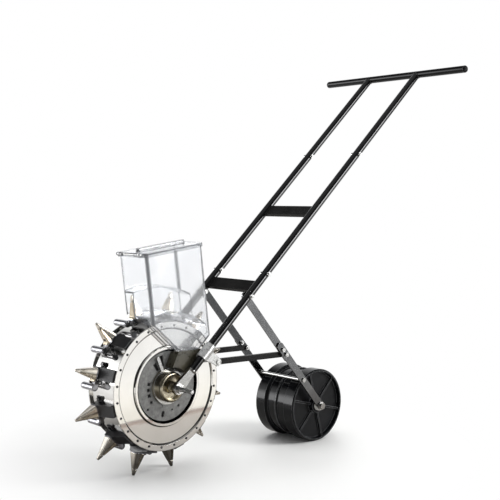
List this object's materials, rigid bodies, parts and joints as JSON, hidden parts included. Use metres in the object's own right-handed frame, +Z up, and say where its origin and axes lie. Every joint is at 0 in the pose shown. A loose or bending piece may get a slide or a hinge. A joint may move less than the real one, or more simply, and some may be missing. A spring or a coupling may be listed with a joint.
{
  "type": "walk-behind seed planter",
  "caption": "Hand-pushed seed planter: spiked wheel of opening beaks, clear side hopper with chute, twin-tube push handle and a trailing press roller.",
  "frame": {"origin": "middle of the bounding box on the ground, where the beak tips and the roller stand", "axes": "+X back toward the handle bar, +Y to the side away from the chute, +Z up"},
  "size_m": [1.1002, 0.512, 1.008],
  "materials": {
    "black_paint": "gloss black enamel",
    "black_plastic": "gloss moulded",
    "zinc_steel": "bright zinc plate",
    "strut_steel": "grey satin",
    "polished_steel": "mirror polish",
    "beak_steel": "bright, bronze tint",
    "black_cast": "semi gloss black",
    "clear_plastic": "clear moulded",
    "grey_plate": "satin grey",
    "brass": "turned, bright",
    "olive_plastic": "smoked moulded",
    "hub_steel": "turned",
    "nylon": "natural moulded"
  },
  "bodies": {
    "frame": {"handle_bar": "black_paint", "handle_bar_plugs": "black_plastic", "upper_tube_near": "black_paint", "middle_tube_near": "black_paint", "lower_tube_near": "black_paint", "upper_tube_far": "black_paint", "middle_tube_far": "black_paint", "lower_tube_far": "black_paint", "upper_crossbar": "black_paint", "lower_crossbar": "black_paint", "frame_bolts": "zinc_steel", "frame_nuts": "zinc_steel", "axle_lug_near": "zinc_steel", "axle_lug_far": "zinc_steel", "tube_clamp_near": "zinc_steel", "tube_clamp_far": "zinc_steel", "link_bar_near": "black_paint", "link_bar_far": "black_paint", "upper_strut_near": "strut_steel", "upper_strut_far": "strut_steel", "lower_strut_near": "strut_steel", "lower_strut_far": "strut_steel", "scraper_rod": "zinc_steel", "front_axle": "zinc_steel", "axle_nuts": "zinc_steel", "roller_axle": "zinc_steel", "seed_plate": "grey_plate", "seed_hub": "brass", "inlet_elbow": "olive_plastic", "seed_hopper": "clear_plastic", "lid_pin": "zinc_steel"},
    "spiked_wheel": {"near_disc": "polished_steel", "far_disc": "polished_steel", "drum_shell": "polished_steel", "wheel_hub": "hub_steel", "wheel_bearings": "zinc_steel", "metering_wheel": "nylon", "seed_divider": "nylon", "rim_screws": "black_cast", "beak_holders": "black_cast", "holder_bolts": "black_cast", "fixed_beaks": "beak_steel", "hinge_pins": "zinc_steel"},
    "press_roller": {"roller_near": "black_plastic", "roller_far": "black_plastic", "roller_bushes": "nylon"},
    "lid": {"hopper_lid": "clear_plastic"},
    "gate": {"gate_lever": "zinc_steel"},
    "beak_01": {"moving_beak_01": "beak_steel"},
    "beak_02": {"moving_beak_02": "beak_steel"},
    "beak_03": {"moving_beak_03": "beak_steel"},
    "beak_04": {"moving_beak_04": "beak_steel"},
    "beak_05": {"moving_beak_05": "beak_steel"},
    "beak_06": {"moving_beak_06": "beak_steel"},
    "beak_07": {"moving_beak_07": "beak_steel"},
    "beak_08": {"moving_beak_08": "beak_steel"},
    "beak_09": {"moving_beak_09": "beak_steel"},
    "beak_10": {"moving_beak_10": "beak_steel"},
    "beak_11": {"moving_beak_11": "beak_steel"},
    "beak_12": {"moving_beak_12": "beak_steel"}
  },
  "joints": [
    {"name": "wheel_spin", "type": "hinge", "parent": "frame", "child": "spiked_wheel", "pos_m": [-0.33889, 0, 0.21122], "axis": [0, 1, 0], "continuous": true},
    {"name": "roller_spin", "type": "hinge", "parent": "frame", "child": "press_roller", "pos_m": [0.14711, 0, 0.0955], "axis": [0, 1, 0], "continuous": true},
    {"name": "lid_hinge", "type": "hinge", "parent": "frame", "child": "lid", "pos_m": [-0.4244, 0, 0.51862], "axis": [0, -1, 0], "range_deg": [0, 110]},
    {"name": "gate_turn", "type": "hinge", "parent": "frame", "child": "gate", "pos_m": [-0.33889, 0, 0.21122], "axis": [0, -1, 0], "range_deg": [0, 25]},
    {"name": "beak_01_open", "type": "hinge", "parent": "spiked_wheel", "child": "beak_01", "pos_m": [-0.3159, 0.01, 0.36656], "axis": [0, -1, 0], "range_deg": [0, 12], "stiffness_Nm_per_rad": 1.5, "springref_deg": -8.59},
    {"name": "beak_02_open", "type": "hinge", "parent": "spiked_wheel", "child": "beak_02", "pos_m": [-0.24131, 0.01, 0.33426], "axis": [0, -1, 0], "range_deg": [0, 12], "stiffness_Nm_per_rad": 1.5, "springref_deg": -8.59},
    {"name": "beak_03_open", "type": "hinge", "parent": "spiked_wheel", "child": "beak_03", "pos_m": [-0.19287, 0.01, 0.26898], "axis": [0, -1, 0], "range_deg": [0, 12], "stiffness_Nm_per_rad": 1.5, "springref_deg": -8.59},
    {"name": "beak_04_open", "type": "hinge", "parent": "spiked_wheel", "child": "beak_04", "pos_m": [-0.18355, 0.01, 0.18823], "axis": [0, -1, 0], "range_deg": [0, 12], "stiffness_Nm_per_rad": 1.5, "springref_deg": -8.59},
    {"name": "beak_05_open", "type": "hinge", "parent": "spiked_wheel", "child": "beak_05", "pos_m": [-0.21585, 0.01, 0.11364], "axis": [0, -1, 0], "range_deg": [0, 12], "stiffness_Nm_per_rad": 1.5, "springref_deg": -8.59},
    {"name": "beak_06_open", "type": "hinge", "parent": "spiked_wheel", "child": "beak_06", "pos_m": [-0.28113, 0.01, 0.06519], "axis": [0, -1, 0], "range_deg": [0, 12], "stiffness_Nm_per_rad": 1.5, "springref_deg": -8.59},
    {"name": "beak_07_open", "type": "hinge", "parent": "spiked_wheel", "child": "beak_07", "pos_m": [-0.36188, 0.01, 0.05588], "axis": [0, -1, 0], "range_deg": [0, 12], "stiffness_Nm_per_rad": 1.5, "springref_deg": -8.59},
    {"name": "beak_08_open", "type": "hinge", "parent": "spiked_wheel", "child": "beak_08", "pos_m": [-0.43647, 0.01, 0.08818], "axis": [0, -1, 0], "range_deg": [0, 12], "stiffness_Nm_per_rad": 1.5, "springref_deg": -8.59},
    {"name": "beak_09_open", "type": "hinge", "parent": "spiked_wheel", "child": "beak_09", "pos_m": [-0.48492, 0.01, 0.15346], "axis": [0, -1, 0], "range_deg": [0, 12], "stiffness_Nm_per_rad": 1.5, "springref_deg": -8.59},
    {"name": "beak_10_open", "type": "hinge", "parent": "spiked_wheel", "child": "beak_10", "pos_m": [-0.49423, 0.01, 0.23421], "axis": [0, -1, 0], "range_deg": [0, 12], "stiffness_Nm_per_rad": 1.5, "springref_deg": -8.59},
    {"name": "beak_11_open", "type": "hinge", "parent": "spiked_wheel", "child": "beak_11", "pos_m": [-0.46193, 0.01, 0.3088], "axis": [0, -1, 0], "range_deg": [0, 12], "stiffness_Nm_per_rad": 1.5, "springref_deg": -8.59},
    {"name": "beak_12_open", "type": "hinge", "parent": "spiked_wheel", "child": "beak_12", "pos_m": [-0.39665, 0.01, 0.35724], "axis": [0, -1, 0], "range_deg": [0, 12], "stiffness_Nm_per_rad": 1.5, "springref_deg": -8.59}
  ]
}
